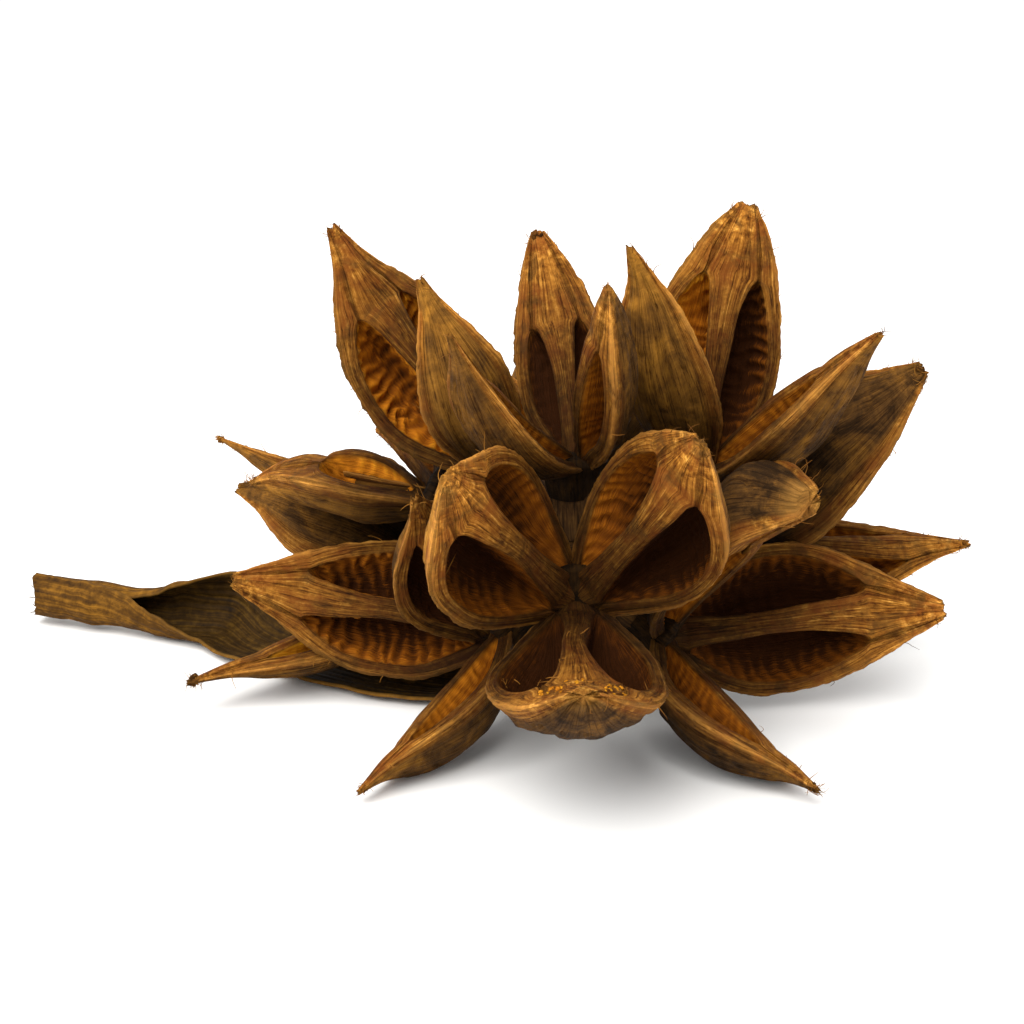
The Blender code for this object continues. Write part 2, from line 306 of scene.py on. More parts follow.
# Ramps, each a row of a place from 0 to 1 and its colour
FACE_RAMP = ((0.38, (0.030, 0.008, 0.001)), (0.46, (0.125, 0.042, 0.005)),
             (0.54, (0.27, 0.108, 0.014)), (0.64, (0.56, 0.275, 0.052)))
HUSK_RAMP = ((0.42, (0.024, 0.011, 0.003)), (0.51, (0.070, 0.031, 0.007)),
             (0.60, (0.150, 0.064, 0.010)), (0.72, (0.31, 0.135, 0.017)))
# The hollows run from painted shade deep down to painted light on rib crests and where a valve is lit through
# its wall
HOLLOW_RAMP = ((0.0, (0.03, 0.008, 0.001)), (0.18, (0.20, 0.055, 0.003)),
               (0.38, (0.52, 0.17, 0.008)), (0.62, (0.85, 0.37, 0.018)))
TIP_RAMP = ((0.80, (0.25, 0.25, 0.25)), (0.95, (0.8, 0.8, 0.8)))
RUDDY_RAMP = ((0.46, (0, 0, 0)), (0.62, (0.75, 0.75, 0.75)))
STAIN_RAMP = ((0.50, (0, 0, 0)), (0.66, (0.8, 0.8, 0.8)))
VEIN_RAMP = ((0.0, (0.32, 0.26, 0.22)), (0.016, (1.0, 1.0, 1.0)))
BARK_RAMP = ((0.34, (0.010, 0.005, 0.002)), (0.5, (0.045, 0.020, 0.006)), (0.68, (0.14, 0.065, 0.016)))
LEAF_INNER_RAMP = ((0.36, (0.006, 0.003, 0.001)), (0.5, (0.032, 0.015, 0.002)), (0.66, (0.10, 0.050, 0.007)))
LEAF_OUTER_RAMP = ((0.36, (0.012, 0.005, 0.001)), (0.5, (0.080, 0.033, 0.003)), (0.64, (0.23, 0.100, 0.010)))

# Single colours
RUDDY = (0.125, 0.033, 0.005)
STAIN = (0.070, 0.030, 0.006)
# Pale ochre for the rims: partly their pale fibre, partly a painted highlight along the ridge
RIM_TINT_AND_HIGHLIGHT = (0.46, 0.22, 0.045)
LEAF_EDGE_TINT = (0.25, 0.12, 0.02)
FLOOR_COLOR = (0.9, 0.9, 0.89, 1.0)
WHITE = (1.0, 1.0, 1.0, 1.0)

# How much of each goes into a mix
# How far the rims take that tint, partly fibre and partly painted highlight
RIM_TINT_AND_HIGHLIGHT_SHARE = 0.3
LEAF_EDGE_SHARE = 0.25
COMBED_STREAKS = 0.6
COMBED_THREADS = 0.4
WEATHER_BLOTCHES = 0.6
WEATHER_STRANDS = 0.5
WEATHER_TONE = 0.3
# Lightness in a hollow: painted light on rib crests, thread grain, painted light where a valve is lit through
# its wall, and painted shade deep down
RIB_CREST_PAINTED_LIGHT = 0.14
SHINE_THREADS = 0.55
HOLLOW_PAINTED_LIGHT_SHARE = 0.6
DEPTH_PAINTED_SHADE = -0.3
# Painted shade: the husk is darkened toward the base where the valves meet and painted lighter toward the tip
SHADED_BASE_LEVEL = 0.22
LIT_TIP_GAIN = 1.75
# How much paler the edges are: partly the pale fibre, partly a painted highlight
EDGE_PALE_AND_HIGHLIGHT = 0.45
TONE_BASE = 0.55
TONE_GAIN = 0.9
MIDDLE = 0.5
HUSK_COMBED_BUMP = 0.7
HUSK_COARSE_BUMP = 0.35
CREASE_SLOPE = 6.0
CREASE_BUMP = 0.15
BARK_GROOVE_SHARE = 0.7
BARK_SPOT_SHARE = 0.3
LEAF_VEIN_SHARE = 0.4
LEAF_BLOTCH_SHARE = 0.2
LEAF_MOTTLE_SHARE = 0.4

# Surfaces: roughness, how much it varies, specular level, bump strength and the bump's depth in metres
HUSK_SURFACE = (0.62, 0.3, 0.06, 1.0, 0.0013)
BARK_SURFACE = (0.65, 0.25, 0.06, 0.8, 0.0009)
LEAF_SURFACE = (0.55, 0.3, 0.08, 0.8, 0.0008)

# Floor, light and camera: sizes in metres, the camera's place in the head's frame
FLOOR_SIZE = 6.0
FLOOR_DROP = 0.0005
FLOOR_ROUGHNESS = 0.9
KEY_SOURCE = (-0.4, -0.75, 0.95)
KEY_WIDTH = math.radians(50.0)
KEY_STRENGTH = 3.7
KEY_COLOR = (1.0, 0.985, 0.96)
WORLD_STRENGTH = 1.05
CAMERA_PLACE = (-22.0, 17.0, 789.0)
CAMERA_LENS = 85.0
CAMERA_SENSOR = 36.0


def valve(bearing, lift, length=VALVE_LENGTH, girth=VALVE_GIRTH, facing=None, bow=VALVE_BOW, hook=0.0,
          sway=0.0, depth=VALVE_DEPTH, blunt=0.0, wall=WALL, septum=SEPTUM_BASE, ends=LOCULE_END, ribs=0.7,
          tone=0.5, painted_hollow_light=0.4, painted_side_shade=0.0, fray=1.0, knob=1.2, crumbs=0, debris=0, stray=0):
    """One valve as in the solids, and its finish: how blunt its tip is, how thick its rims and septum are,
    where its hollows end, how strong their ribs are, how pale its husk is, how much painted light its
    hollows get and how much painted shade darkens the hollow on one side, and what frays, knobs and litters
    it."""
    return dict(bearing=bearing, lift=lift, length=length, girth=girth, facing=facing, bow=bow, hook=hook,
                sway=sway, depth=depth, blunt=blunt, wall=wall, septum=septum, ends=ends, ribs=ribs,
                tone=tone, painted_hollow_light=painted_hollow_light, painted_side_shade=painted_side_shade, fray=fray, knob=knob, crumbs=crumbs, debris=debris,
                stray=stray)


# Each capsule: where its three valves meet, then the valves
CAPSULES = {
    "capsule_front": ((-2, -10, 40), (
        valve(135, 54, girth=31, blunt=0.3, septum=3.9, ribs=0.6, tone=0.9, painted_hollow_light=0.3, knob=1.5, stray=1),
        valve(54, 51, girth=29, blunt=0.4, septum=3.6, ribs=0.6, tone=0.6, painted_hollow_light=0.4, painted_side_shade=-0.3),
        valve(-92, 76, girth=31, blunt=0.9, ribs=0.3, tone=0.28, painted_hollow_light=0.1, knob=1.6, crumbs=40, debris=1))),
    "capsule_top_left": ((-28, 33, 2), (
        valve(125, 8, 92, facing=(34, 72), ends=0.68, ribs=1.3, painted_hollow_light=0.55, tone=0.4, fray=3),
        valve(111, 28, 68, 18, hook=-3, tone=0.65),
        valve(88, -58, 68, 20))),
    "capsule_top": ((-2, 35, 20), (
        valve(99, -27, 86, 19, blunt=0.5, ends=0.61, ribs=0.3, painted_hollow_light=0.1, fray=3, knob=3.2),
        valve(82, 52, 78, 21, facing=(180, 6), bow=-3, depth=0.85, blunt=0.5, wall=5.5),
        valve(138, 51, 80, 20, facing=(62, -6), wall=6.0, tone=0.55))),
    "capsule_top_right": ((39, 31, -2), (
        valve(80, 0, 88, 26, blunt=0.6, ribs=0.9, painted_hollow_light=0.7, painted_side_shade=-0.6, fray=4, knob=2),
        valve(110, 33, 86, 20, facing=(-30, -55), bow=-6, depth=0.75, tone=0.75),
        valve(39, 39, 84, 25, facing=(121, -4), bow=-3, depth=0.8, blunt=0.2, wall=6.5, tone=0.5))),
    "capsule_right": ((57, 9, -39), (
        valve(41, 24, 85, 29, facing=(-50, -62), bow=2, sway=-5, depth=0.65, blunt=0.3, tone=0.35, fray=3,
              knob=3),
        valve(-2, -9, 81, 20, facing=(100, 50), fray=2, knob=2.0),
        valve(-10, -62, 76, 23))),
    "capsule_low_right": ((30, -23, 6), (
        valve(6, -5, 90, 29, blunt=0.3, ribs=0.6, painted_hollow_light=0.2, septum=3.8),
        valve(45, 43, 78, 26, blunt=2.0, tone=0.15, fray=3, knob=0.5),
        valve(-42, 45, 82, 26, facing=(54, 0), hook=5, depth=0.73, wall=6.5, tone=0.3, painted_hollow_light=0.35, fray=3,
              knob=2.2, debris=1))),
    "capsule_low_left": ((-28, -21, 3), (
        valve(170, -7, 88, 26, blunt=0.25, septum=3.6, ribs=1.0, painted_hollow_light=0.3, tone=0.3, knob=2.6),
        valve(118, 41, 64, 23, facing=(-15, 38), wall=5.5, tone=0.5, painted_hollow_light=0.0),
        valve(-139, 43, 83, 22, facing=(130, -7), bow=3.4, hook=8, wall=6.5, tone=0.5, painted_hollow_light=0.55,
              knob=1.8))),
    "capsule_left": ((-49, 24, -13), (
        valve(176, -16, 63, 29, facing=(87, 2), bow=-12, blunt=0.3, wall=6.0, ends=0.56, ribs=1.0, tone=0.65,
              painted_hollow_light=0.6, fray=6, knob=2.2),
        valve(166, -31, 91, 11, facing=(80, -40), tone=0.7, fray=3, knob=2.2),
        valve(135, -60, 60, 17))),
    "capsule_far_left": ((-49, -2, -58), (
        valve(159, -9, 76, 29, facing=(248, -60), tone=0.5),
        valve(-158, 29, 100, 20, facing=(107, 10), hook=4, wall=6.0, painted_hollow_light=0.95, fray=4, knob=3.0),
        valve(165, -64, 72, 21))),
    "capsule_back": ((5, 28, -50), (
        valve(58, -29, 66, 19),
        valve(85, -73, 66, 19),
        valve(112, -29, 66, 19))),
}


# Geometry helpers
def unit(v):
    return v / np.linalg.norm(v)


def direction(bearing, lift):
    """A unit vector in the head's frame."""
    b = math.radians(bearing)
    e = math.radians(lift)
    return np.array([math.cos(b) * math.cos(e), math.sin(b) * math.cos(e), math.sin(e)])


def head_axes():
    """The head's a, b and c axes as the columns of a matrix."""
    s = math.sin(HEAD_TILT)
    c = math.cos(HEAD_TILT)
    return np.array([[1, 0, 0], [0, s, -c], [0, c, s]])


def place(points):
    """Head frame in millimetres to the world in metres."""
    return (np.asarray(points, float) @ head_axes().T + HEAD_CENTRE) * MM


def smooth_line(line, t):
    """The heights at t of a smooth curve through the points of a line."""
    x, y = np.array(line, float).T
    slope = np.gradient(y, x)
    i = np.clip(np.searchsorted(x, t, side="right") - 1, 0, len(x) - 2)
    h = x[i + 1] - x[i]
    u = (t - x[i]) / h
    return ((2 * u**3 - 3 * u**2 + 1) * y[i] + (u**3 - 2 * u**2 + u) * h * slope[i]
            + (3 * u**2 - 2 * u**3) * y[i + 1] + (u**3 - u**2) * h * slope[i + 1])


def step(low, high, x):
    """0 below low, 1 above high and a smooth rise between."""
    u = np.clip((x - low) / (high - low), 0, 1)
    return u * u * (3 - 2 * u)


def lattice(i, j, seed):
    """A repeatable random number from -1 to 1 at each whole point."""
    h = (i.astype(np.int64) * SCRAMBLE_I + j.astype(np.int64) * SCRAMBLE_J + seed * SCRAMBLE_SEED) & WORD
    h = ((h ^ (h >> 13)) * SCRAMBLE) & WORD
    return ((h ^ (h >> 16)) & HALF_WORD) / (HALF_WORD / 2) - 1.0


def noise(x, y, seed, layers=1):
    """Smooth random hills, from about -1 to 1, with finer ones on them for each further layer."""
    total = 0.0
    weight = 1.0
    whole = 0.0
    x, y = np.broadcast_arrays(np.asarray(x, float), np.asarray(y, float))
    for layer in range(layers):
        i = np.floor(x)
        j = np.floor(y)
        u = step(0, 1, x - i)
        v = step(0, 1, y - j)
        key = int(seed) * LAYER_SEEDS + layer
        low = lattice(i, j, key) * (1 - u) + lattice(i + 1, j, key) * u
        high = lattice(i, j + 1, key) * (1 - u) + lattice(i + 1, j + 1, key) * u
        total = total + weight * (low * (1 - v) + high * v)
        whole += weight
        x = x * LAYER_SCALE + LAYER_SHIFT[0]
        y = y * LAYER_SCALE + LAYER_SHIFT[1]
        weight *= LAYER_WEIGHT
    return total / whole * HILL_GAIN


def hills(u, w, size, seed, layers=1):
    """Noise over a surface, with each hill about size long and wide."""
    return noise(u / size[0], w / size[1], seed, layers)


def stack(*values):
    """Values that reach over the same grid, side by side in its last axis."""
    return np.stack(np.broadcast_arrays(*values), axis=-1)


def turns_of(sides):
    return np.linspace(0, 2 * math.pi, sides, endpoint=False)


def circle(way, sides):
    """Unit vectors all round a way and square to it."""
    side = unit(np.cross(way, ASIDE))
    other = np.cross(way, side)
    turns = turns_of(sides)
    return np.outer(np.cos(turns), side) + np.outer(np.sin(turns), other)


def zone_of(back=0.0, hollow=0.0, edge=0.0, sunk=0.0):
    """What part of a valve a point is: its husky back, a hollow, an edge, and how deep it lies."""
    return np.array([back, hollow, edge, sunk])


def trait_of(tone=0.5, painted_hollow_light=0.5, along=0.5, rib=0.5):
    """How a point looks: how pale, how much painted light it gets in a hollow, how near the tip, and how high
    on a rib.
    """
    return np.array([tone, painted_hollow_light, along, rib])


class Shape:
    """Collects grids of points with what the skin needs to know, and turns them into one mesh object."""

    def __init__(self):
        self.points = []
        self.faces = []
        self.zones = []
        self.traits = []
        self.grains = []
        self.count = 0

    def keep(self, zone, trait, grain):
        """Keeps the attributes of the points that were added last."""
        self.zones.append(zone)
        self.traits.append(trait)
        self.grains.append(grain)

    def grid(self, points, zone, trait, grain, flat=False):
        """Adds rows of points, closed round each row and at both ends: with a fan, or in a flat strip by
        joining its two sides."""
        rows, around = points.shape[:2]
        zone = np.broadcast_to(zone, (rows, around, 4))
        trait = np.broadcast_to(trait, (rows, around, 4))
        grain = np.broadcast_to(grain, (rows, around, 3))
        index = self.count + np.arange(rows * around).reshape(rows, around)
        ahead = np.roll(index, -1, axis=1)
        quads = np.stack([index[:-1], ahead[:-1], ahead[1:], index[1:]], axis=-1).reshape(-1, 4)
        self.faces += quads.tolist()
        self.points.append(points.reshape(-1, 3))
        self.keep(zone.reshape(-1, 4), trait.reshape(-1, 4), grain.reshape(-1, 3))
        self.count += rows * around
        if flat:
            for row, turn in ((index[0].tolist(), -1), (index[-1].tolist(), 1)):
                self.faces += [[row[k], row[k + 1], row[-k - 2], row[-k - 1]][::turn]
                               for k in range(around // 2 - 1)]
            return
        first = self.count
        last = first + 1
        self.faces += [[first, b, a] for a, b in zip(index[0].tolist(), ahead[0].tolist())]
        self.faces += [[last, a, b] for a, b in zip(index[-1].tolist(), ahead[-1].tolist())]
        for row in (0, -1):
            self.points.append(points[row].mean(0)[None, :])
            self.keep(zone[row, :1], trait[row, :1], grain[row, :1])
        self.count = last + 1

    def finish(self, name, node, slot, skin):
        """Makes the mesh object that stands for a node."""
        mesh = bpy.data.meshes.new(name)
        points = place(np.concatenate(self.points))
        points[:, 2] = np.maximum(points[:, 2], 0.0)
        mesh.from_pydata(points.tolist(), [], self.faces)
        for key, store in (("zone", self.zones), ("trait", self.traits)):
            attribute = mesh.attributes.new(key, "FLOAT_COLOR", "POINT")
            attribute.data.foreach_set("color", np.concatenate(store).ravel())
        for key, store in (("grain", self.grains), ("spot", self.points)):
            attribute = mesh.attributes.new(key, "FLOAT_VECTOR", "POINT")
            attribute.data.foreach_set("vector", np.concatenate(store).ravel())
        mesh.polygons.foreach_set("use_smooth", [True] * len(mesh.polygons))
        mesh.materials.append(skin)
        piece = bpy.data.objects.new(name, mesh)
        bpy.context.scene.collection.objects.link(piece)
        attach(piece, "root")
        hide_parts(node)


def outward(points):
    """Unit normals of a grid that is closed round each row, pointing away from the row's middle."""
    round_row = np.roll(points, -1, axis=1) - np.roll(points, 1, axis=1)
    along_row = np.gradient(points, axis=0)
    normal = np.cross(round_row, along_row)
    normal /= np.maximum(np.linalg.norm(normal, axis=-1, keepdims=True), 1e-9)
    away = points - points.mean(axis=1, keepdims=True)
    return normal if (normal * away).sum() > 0 else -normal


# The valve
def outline_at(t, blunt):
    """The girth from base to tip as a share, between the slender and the blunt outline."""
    return smooth_line(OUTLINE, t) * (1 - blunt) + smooth_line(BLUNT_OUTLINE, t) * blunt


def pocket_outlines(t, one, r, edge, thick):
    """The outline of the hollow on the right of the septum, one row for each share t, and its depth."""
    u = (2 * t - LOCULE_START - one["ends"]) / (one["ends"] - LOCULE_START)
    inside = np.maximum(0.0, 1 - u * u)[:, None, None]
    web = np.minimum(WEB + WEB_SHARE * r, WEB_MOST * edge)
    back_wall = np.minimum(BACK_WALL, WALL_SHARE * r)
    lip = np.concatenate([edge, LIP_DEPTH * edge], axis=-1)
    rim = np.array([math.sin(HALF_ANGLE), math.cos(HALF_ANGLE)]) * (r - thick)
    middle = (lip + rim) / 2
    floor = np.sqrt(np.maximum((r - back_wall) ** 2 - web**2, TINY))
    down = np.linspace(0, 1, WEB_STEPS, endpoint=False)[None, :, None]
    web_side = np.concatenate([web + (edge - web) * (1 - down) ** WEB_FLARE,
                               lip[..., 1:] + (floor - lip[..., 1:]) * down], axis=-1)
    start_angle = np.arctan2(web, floor)
    up = np.linspace(0, 1, WALL_STEPS)[None, :, None]
    angle = start_angle + (HALF_ANGLE - start_angle) * up
    reach = r - back_wall - (thick - back_wall) * up**WALL_FLARE
    wall_side = np.concatenate([reach * np.sin(angle), reach * np.cos(angle)], axis=-1)
    pocket = np.concatenate([web_side, wall_side], axis=1) - middle
    opening = (rim - lip) / np.linalg.norm(rim - lip, axis=-1, keepdims=True)
    inward = opening[..., ::-1] * np.array([-1, 1])
    wide = (pocket * opening).sum(-1, keepdims=True)
    deep = (pocket * inward).sum(-1, keepdims=True)
    past = step(*CREASE_PAST_TIP, t - one["ends"]) + step(*CREASE_PAST_BASE, LOCULE_START - t)
    crease = CREASE_LEAST + CREASE_GAIN * past[:, None, None]
    wide = wide * np.maximum(inside**LOCULE_WIDTH_POWER, crease)
    deep = deep * np.minimum(1.0, LOCULE_DEPTH_GAIN * inside**LOCULE_DEPTH_POWER)
    return middle + opening * wide + inward * deep, deep[..., 0]


def valve_sections(t, one):
    """Outlines across a valve, a row for each share t, and how deep each point lies in a hollow."""
    r = one["girth"] * outline_at(t, one["blunt"])[:, None, None]
    septum = one["septum"] + (SEPTUM_TIP - one["septum"]) * step(*SEPTUM_CHANGE, t)[:, None, None]
    edge = np.minimum(septum, SEPTUM_SHARE * r + SEPTUM_LEAST)
    thick = np.minimum(one["wall"], WALL_SHARE * r)
    pocket, deep = pocket_outlines(t, one, r, edge, thick)
    angles = np.linspace(HALF_ANGLE, -HALF_ANGLE, BACK)[None, :, None]
    arc = np.concatenate([r * np.sin(angles), r * np.cos(angles)], axis=-1)
    share = np.linspace(0, 1, RIM + 2)[None, 1:-1, None]
    right_rim = pocket[:, -1:] + (arc[:, :1] - pocket[:, -1:]) * share
    mirror = np.array([-1, 1])
    left_rim = (right_rim * mirror)[:, ::-1]
    across = np.linspace(-1, 1, RIDGE + 2)[None, 1:-1, None]
    ridge = pocket[:, :1] * mirror + (pocket[:, :1] - pocket[:, :1] * mirror) * (across + 1) / 2
    ridge[..., 1:] -= SEPTUM_CROWN * edge * (1 - across**2)
    loop = np.concatenate([arc, left_rim, (pocket * mirror)[:, ::-1], ridge, pocket, right_rim], axis=1)
    level = np.zeros((len(t), BACK + RIM))
    depth = np.concatenate([level, deep[:, ::-1], level[:, :RIDGE], deep, level[:, :RIM]], axis=1)
    return loop, depth


def column_zones():
    """For each column round a valve: how far it is on the back, on a hollow's wall, on an edge and in the
    groove that runs beside each edge."""
    pocket = WEB_STEPS + WALL_STEPS
    back = np.concatenate([np.ones(BACK), np.zeros(2 * RIM + 2 * pocket + RIDGE)])
    wall = np.concatenate([np.full(WEB_STEPS, WEB_HOLLOW), np.ones(WALL_STEPS)])
    wall = np.concatenate([np.zeros(BACK + RIM), wall[::-1], np.zeros(RIDGE), wall, np.zeros(RIM)])
    columns = np.arange(len(back))
    from_first = np.minimum(columns, len(back) - columns)
    off_edge = np.minimum(from_first, np.abs(columns - (BACK - 1)))
    edge = np.exp(-(off_edge / EDGE_WIDTH) ** 2)
    back[off_edge < MARGIN] = 0
    groove = np.exp(-((off_edge - MARGIN) / MARGIN_WIDTH) ** 2) * (columns < BACK)
    back = (np.roll(back, 1) + 2 * back + np.roll(back, -1)) / 4
    return back, wall, edge, groove


def valve_axes(one, axis):
    """Along the valve, out through its back, and across it. Its face looks as facing says, or else along
    the star's axis."""
    along = direction(one["bearing"], one["lift"])
    look = direction(*one["facing"]) if one["facing"] else axis
    out = unit(along * np.dot(look, along) - look)
    return along, out, np.cross(along, out)


def rib_relief(one, u, w, wall, seed):
    """The height of the ribs and pits in a valve's hollows, and where each point lies on a rib."""
    phase = (u + RIB_SLANT * w) / RIB_SPACING + RIB_SWAY * hills(u, w, RIB_SWAY_SIZE, seed + 6, 2)
    rib = np.cos(2 * math.pi * phase) * 0.5 + 0.5
    strength = one["ribs"] * (RIB_EVEN + RIB_PATCHY * hills(u, w, RIB_PATCH_SIZE, seed + 12))
    height = RIB_HEIGHT * (rib**RIB_SHARPNESS - RIB_FOOT) * wall[None, :] * strength
    return height + PIT_HEIGHT * hills(u, w, PIT_SIZE, seed + 7, 2), rib


def husk_relief(t, u, w, back, seed):
    """The height of the lumps, folds, strands and cracks of a valve, which are weaker on its face."""
    face = 1 - back
    lumps = hills(u, w, LUMP_SIZE, seed + 1, 2) * (LUMP_HEIGHTS[0] * back + LUMP_HEIGHTS[1] * face)
    crests = FOLD_CREST - np.abs(hills(u, w, FOLD_SIZE, seed + 2, 2)) * FOLD_SHARPNESS
    folds = crests * (FOLD_HEIGHTS[0] * back + FOLD_HEIGHTS[1] * face)
    folds = folds + hills(u, w, PLEAT_SIZE, seed + 11, 2) * PLEAT_HEIGHT
    folds = folds * (1 - FOLDS_FADE_SHARE * step(*FOLDS_FADE, t)[:, None])
    strands = hills(u, w, STRAND_SIZE, seed + 3, 2) * STRAND_HEIGHT
    crack = np.abs(hills(u, w, CRACK_SIZE, seed + 4, 2))
    cracks = -CRACK_DEPTH * np.exp(-(crack / CRACK_WIDTH) ** 2) * back
    return lumps + folds + strands + cracks


def edge_relief(u, w, edge, groove, seed):
    """The height of a valve's swollen and nicked edges and of the grooves beside them."""
    nicks = NICK_HEIGHT * hills(u, w, NICK_SIZE, seed + 8, 2)
    burrs = BURR_HEIGHT * hills(u, w, BURR_SIZE, seed + 13)
    return edge[None, :] * (nicks + burrs + EDGE_SWELL) - MARGIN_GROOVE * groove[None, :]


def add_valve(shape, one, base, axis, seed):
    """A fibrous valve: wrinkled husk behind, thick rims, ribs across both hollows and a ragged tip. Each
    noise adds a number of its own to the seed, so that no two follow each other."""
    along, out, across = valve_axes(one, axis)
    t = np.linspace(0, 1, ROWS)
    loop, depth = valve_sections(t, one)
    loop = (np.roll(loop, 1, axis=1) + 4 * loop + np.roll(loop, -1, axis=1)) / 6
    back, wall, edge, groove = column_zones()
    hollow = step(*HOLLOW_DEPTHS, depth)
    u = (t * one["length"])[:, None]
    widest = loop[int(ROWS * WIDEST)]
    w = np.cumsum(np.linalg.norm(np.diff(widest, axis=0, prepend=widest[:1]), axis=1))[None, :]
    lean = noise(t * WANDER_RATE, 0.5, seed + 5, 2) * WANDER * step(*WANDER_START, t)
    x = loop[..., 0] + (one["sway"] * t**2 + lean)[:, None]
    y = loop[..., 1] * one["depth"] + (one["bow"] * 4 * t * (1 - t) + one["hook"] * t**3)[:, None]
    points = base + x[..., None] * across + y[..., None] * out + (along * one["length"]) * t[:, None, None]
    ribs, rib = rib_relief(one, u, w, wall, seed)
    relief = husk_relief(t, u, w, back, seed) * (1 - hollow) + ribs * hollow
    relief = relief + edge_relief(u, w, edge, groove, seed)
    relief = relief * step(*SLENDER_GIRTHS, outline_at(t, one["blunt"])[:, None])
    points = points + outward(points) * relief[..., None]
    torn = noise(w / TEAR_SPACING, 0.3, seed + 9, 2) * TEAR_LENGTH * step(TEAR_START, 1.0, t)[:, None]
    points = points + along * torn[..., None]
    torn_end = step(TORN_START, 1.0, t)[:, None] * min(1.0, TORN_SHARE * one["blunt"])
    # How deep a point lies in its hollow, which the skin paints as shade
    sunk = np.clip(depth / (SUNK_SHARE * one["girth"]), 0, 1)
    # Painted light in the hollows, as if lit through the wall, and less of it on the side where painted shade
    # falls
    painted_hollow_light = one["painted_hollow_light"] - abs(one["painted_side_shade"]) * (np.sign(loop[..., 0]) == np.sign(one["painted_side_shade"]))
    zone = stack(back[None, :], hollow, np.maximum(edge[None, :], torn_end), sunk)
    trait = stack(one["tone"], painted_hollow_light, t[:, None], rib * one["ribs"])
    shape.grid(points, zone, trait, stack(u, w, float(seed)))
    add_fray(shape, one, points, along, seed)
    add_litter(shape, one, points, along, out, seed)


# Fibres, lumps and litter
def add_lump(shape, centre, along, size, zone, trait, seed):
    """A rough ball, longer one way."""
    height = np.linspace(-LUMP_END, LUMP_END, LUMP_ROWS)
    ring = circle(along, LUMP_SIDES)
    way = np.sqrt(1 - height**2)[:, None, None] * ring + height[:, None, None] * along * LUMP_STRETCH
    hill_x, hill_z = LUMP_HILLS
    hill = noise(way[..., 0] * hill_x + 3, way[..., 1] * hill_x + way[..., 2] * hill_z, seed + 31, 2)
    rough = LUMP_ROUGHNESS[0] + LUMP_ROUGHNESS[1] * hill
    grain = stack(height[:, None] * size * LUMP_GRAIN, turns_of(LUMP_SIDES) * size, float(seed))
    shape.grid(centre + size * way * rough[..., None], zone, trait, grain)


def add_fibre(shape, start, way, length, radius, draw, seed, bend=FIBRE_BEND):
    """One thin tapered thread that curls at random."""
    curl = draw.normal(0, bend, 3)
    centre = start
    rings = []
    for thickness in np.linspace(1.0, FIBRE_TAPER, FIBRE_STEPS + 1) * radius:
        rings.append(centre + thickness * circle(way, FIBRE_SIDES))
        centre = centre + way * length / FIBRE_STEPS
        way = unit(way + curl * FIBRE_CURL + draw.normal(0, bend / 2, 3))
    grain = np.array([0.0, float(seed % 7), float(seed)])
    shape.grid(np.array(rings), zone_of(edge=0.6), trait_of(tone=0.6), grain)


def add_knob(shape, centre, along, size, draw, seed):
    """The matted end of a valve: a few lumps that run into each other, and short threads."""
    for k in range(int(KNOB_LUMPS + KNOB_LUMPS * size)):
        middle = centre + size * KNOB_REACH * unit(draw.normal(0, 1, 3)) * draw.uniform(*KNOB_SPREAD)
        way = unit(along + draw.normal(0, KNOB_SCATTER, 3))
        lump = size * draw.uniform(*KNOB_SHARE)
        trait = trait_of(along=draw.uniform(*KNOB_PALE))
        add_lump(shape, middle, way, lump, zone_of(edge=0.25), trait, seed + k)
    for _ in range(int(THREAD_COUNT * size)):
        way = unit(along * THREAD_FORWARD + draw.normal(0, THREAD_SCATTER, 3))
        length = size * draw.uniform(*THREAD_SHARE)
        radius = draw.uniform(*THREAD_RADIUS)
        add_fibre(shape, centre + way * size * THREAD_FORWARD, way, length, radius, draw, seed, THREAD_BEND)


def add_fray(shape, one, points, along, seed):
    """Fibres that lift off the rims, most of them near the tip, and a tuft at the tip."""
    draw = np.random.default_rng(seed)
    for k in range(int(FRAY_COUNT * one["fray"])):
        if k % 2 == 0:
            share = draw.uniform(*TUFT_PLACE)
            column = draw.integers(0, points.shape[1])
        else:
            share = 1 - FRAY_SPREAD * draw.uniform(0, 1) ** 2
            column = BACK - 1 if draw.random() < 0.5 else 0
        row = int(ROWS * share) - 1
        start = points[row, column]
        sideways = unit(start - points[row].mean(0) + 1e-6)
        lift = draw.uniform(*FRAY_LIFT)
        way = along * draw.uniform(*FRAY_FORWARD) + sideways * lift + draw.normal(0, FRAY_SCATTER, 3)
        way = unit(way)
        length = draw.uniform(*FRAY_LENGTH)
        add_fibre(shape, start - way, way, length, draw.uniform(*FRAY_RADIUS), draw, seed, FRAY_BEND)


